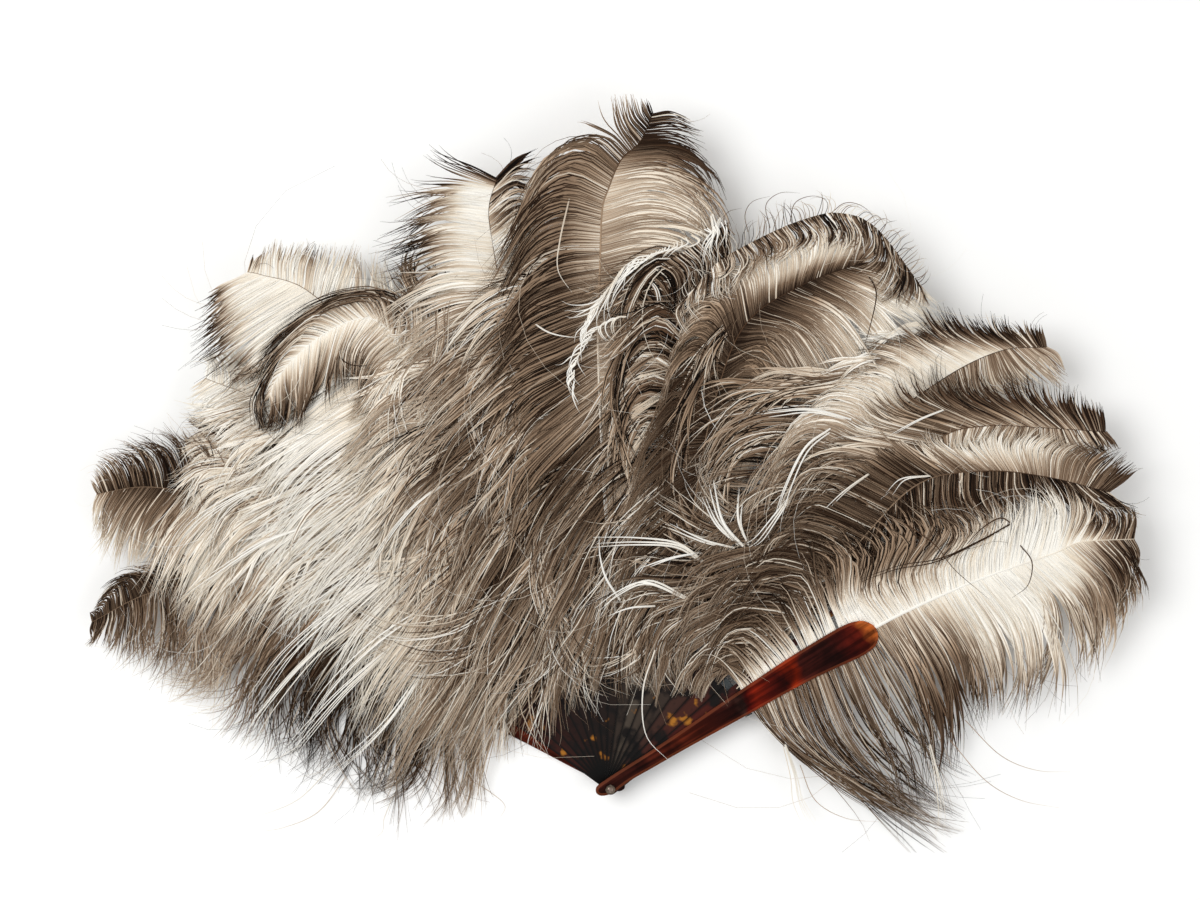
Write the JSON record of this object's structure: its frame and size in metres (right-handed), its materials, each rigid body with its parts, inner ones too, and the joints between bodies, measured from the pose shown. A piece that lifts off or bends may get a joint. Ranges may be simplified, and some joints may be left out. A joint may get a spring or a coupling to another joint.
{
  "type": "feather fan",
  "caption": "Folding ostrich feather fan: thin mottled shell sticks between two guards, each with a full plume, tied by a ribbon and turning together on a shared rivet.",
  "frame": {"origin": "centre of the rivet's flat rear end, level with the rear guard's flat back", "axes": "+Z along the rivet, out of the fan's face; +X to the right and +Y towards the plumes' tips with the face towards the viewer"},
  "size_m": [0.7097, 0.4854, 0.0564],
  "materials": {
    "shell": "polished, mottled red-brown with amber",
    "dark_shell": "polished, near black with amber spots",
    "plume": "loose soft barbs, cream with brown margins",
    "ribbon": "dark ribbon",
    "rivet": "worn",
    "washer": "dark, tarnished"
  },
  "bodies": {
    "rear_guard": {"rear_guard": "shell", "plume_00": "plume", "rivet": "rivet", "rear_washer": "washer", "front_washer": "washer"},
    "stick_01": {"stick_01": "dark_shell", "plume_01": "plume", "ribbon_01": "ribbon"},
    "stick_02": {"stick_02": "dark_shell", "plume_02": "plume", "ribbon_02": "ribbon"},
    "stick_03": {"stick_03": "dark_shell", "plume_03": "plume", "ribbon_03": "ribbon"},
    "stick_04": {"stick_04": "dark_shell", "plume_04": "plume", "ribbon_04": "ribbon"},
    "stick_05": {"stick_05": "dark_shell", "plume_05": "plume", "ribbon_05": "ribbon"},
    "stick_06": {"stick_06": "dark_shell", "plume_06": "plume", "ribbon_06": "ribbon"},
    "stick_07": {"stick_07": "dark_shell", "plume_07": "plume", "ribbon_07": "ribbon"},
    "stick_08": {"stick_08": "dark_shell", "plume_08": "plume", "ribbon_08": "ribbon"},
    "stick_09": {"stick_09": "dark_shell", "plume_09": "plume", "ribbon_09": "ribbon"},
    "stick_10": {"stick_10": "dark_shell", "plume_10": "plume", "ribbon_10": "ribbon"},
    "stick_11": {"stick_11": "dark_shell", "plume_11": "plume", "ribbon_11": "ribbon"},
    "stick_12": {"stick_12": "dark_shell", "plume_12": "plume", "ribbon_12": "ribbon"},
    "stick_13": {"stick_13": "dark_shell", "plume_13": "plume", "ribbon_13": "ribbon"},
    "stick_14": {"stick_14": "dark_shell", "plume_14": "plume", "ribbon_14": "ribbon"},
    "stick_15": {"stick_15": "dark_shell", "plume_15": "plume", "ribbon_15": "ribbon"},
    "stick_16": {"stick_16": "dark_shell", "plume_16": "plume", "ribbon_16": "ribbon"},
    "front_guard": {"front_guard": "shell", "plume_17": "plume", "ribbon_17": "ribbon"}
  },
  "joints": [
    {"name": "stick_01_fold", "type": "hinge", "parent": "rear_guard", "child": "stick_01", "pos_m": [0, 0, 0.01], "axis": [0, 0, 1], "range_deg": [0, 7.01]},
    {"name": "stick_02_fold", "type": "hinge", "parent": "rear_guard", "child": "stick_02", "pos_m": [0, 0, 0.01], "axis": [0, 0, 1], "range_deg": [0, 14.01]},
    {"name": "stick_03_fold", "type": "hinge", "parent": "rear_guard", "child": "stick_03", "pos_m": [0, 0, 0.01], "axis": [0, 0, 1], "range_deg": [0, 21.01]},
    {"name": "stick_04_fold", "type": "hinge", "parent": "rear_guard", "child": "stick_04", "pos_m": [0, 0, 0.01], "axis": [0, 0, 1], "range_deg": [0, 28.01]},
    {"name": "stick_05_fold", "type": "hinge", "parent": "rear_guard", "child": "stick_05", "pos_m": [0, 0, 0.01], "axis": [0, 0, 1], "range_deg": [0, 35.01]},
    {"name": "stick_06_fold", "type": "hinge", "parent": "rear_guard", "child": "stick_06", "pos_m": [0, 0, 0.01], "axis": [0, 0, 1], "range_deg": [0, 42.01]},
    {"name": "stick_07_fold", "type": "hinge", "parent": "rear_guard", "child": "stick_07", "pos_m": [0, 0, 0.01], "axis": [0, 0, 1], "range_deg": [0, 49.01]},
    {"name": "stick_08_fold", "type": "hinge", "parent": "rear_guard", "child": "stick_08", "pos_m": [0, 0, 0.01], "axis": [0, 0, 1], "range_deg": [0, 56.01]},
    {"name": "stick_09_fold", "type": "hinge", "parent": "rear_guard", "child": "stick_09", "pos_m": [0, 0, 0.01], "axis": [0, 0, 1], "range_deg": [0, 63.01]},
    {"name": "stick_10_fold", "type": "hinge", "parent": "rear_guard", "child": "stick_10", "pos_m": [0, 0, 0.01], "axis": [0, 0, 1], "range_deg": [0, 70.01]},
    {"name": "stick_11_fold", "type": "hinge", "parent": "rear_guard", "child": "stick_11", "pos_m": [0, 0, 0.01], "axis": [0, 0, 1], "range_deg": [0, 77.01]},
    {"name": "stick_12_fold", "type": "hinge", "parent": "rear_guard", "child": "stick_12", "pos_m": [0, 0, 0.01], "axis": [0, 0, 1], "range_deg": [0, 84.01]},
    {"name": "stick_13_fold", "type": "hinge", "parent": "rear_guard", "child": "stick_13", "pos_m": [0, 0, 0.01], "axis": [0, 0, 1], "range_deg": [0, 91.01]},
    {"name": "stick_14_fold", "type": "hinge", "parent": "rear_guard", "child": "stick_14", "pos_m": [0, 0, 0.01], "axis": [0, 0, 1], "range_deg": [0, 98.01]},
    {"name": "stick_15_fold", "type": "hinge", "parent": "rear_guard", "child": "stick_15", "pos_m": [0, 0, 0.01], "axis": [0, 0, 1], "range_deg": [0, 105.01]},
    {"name": "stick_16_fold", "type": "hinge", "parent": "rear_guard", "child": "stick_16", "pos_m": [0, 0, 0.01], "axis": [0, 0, 1], "range_deg": [0, 112.01]},
    {"name": "front_guard_fold", "type": "hinge", "parent": "rear_guard", "child": "front_guard", "pos_m": [0, 0, 0.01], "axis": [0, 0, 1], "range_deg": [0, 119]}
  ],
  "couplings": [
    {"joint": "stick_01_fold", "follows": "front_guard_fold", "ratio": 0.058824},
    {"joint": "stick_02_fold", "follows": "front_guard_fold", "ratio": 0.11765},
    {"joint": "stick_03_fold", "follows": "front_guard_fold", "ratio": 0.17647},
    {"joint": "stick_04_fold", "follows": "front_guard_fold", "ratio": 0.23529},
    {"joint": "stick_05_fold", "follows": "front_guard_fold", "ratio": 0.29412},
    {"joint": "stick_06_fold", "follows": "front_guard_fold", "ratio": 0.35294},
    {"joint": "stick_07_fold", "follows": "front_guard_fold", "ratio": 0.41176},
    {"joint": "stick_08_fold", "follows": "front_guard_fold", "ratio": 0.47059},
    {"joint": "stick_09_fold", "follows": "front_guard_fold", "ratio": 0.52941},
    {"joint": "stick_10_fold", "follows": "front_guard_fold", "ratio": 0.58823},
    {"joint": "stick_11_fold", "follows": "front_guard_fold", "ratio": 0.64706},
    {"joint": "stick_12_fold", "follows": "front_guard_fold", "ratio": 0.70588},
    {"joint": "stick_13_fold", "follows": "front_guard_fold", "ratio": 0.76471},
    {"joint": "stick_14_fold", "follows": "front_guard_fold", "ratio": 0.82353},
    {"joint": "stick_15_fold", "follows": "front_guard_fold", "ratio": 0.88235},
    {"joint": "stick_16_fold", "follows": "front_guard_fold", "ratio": 0.94118}
  ]
}
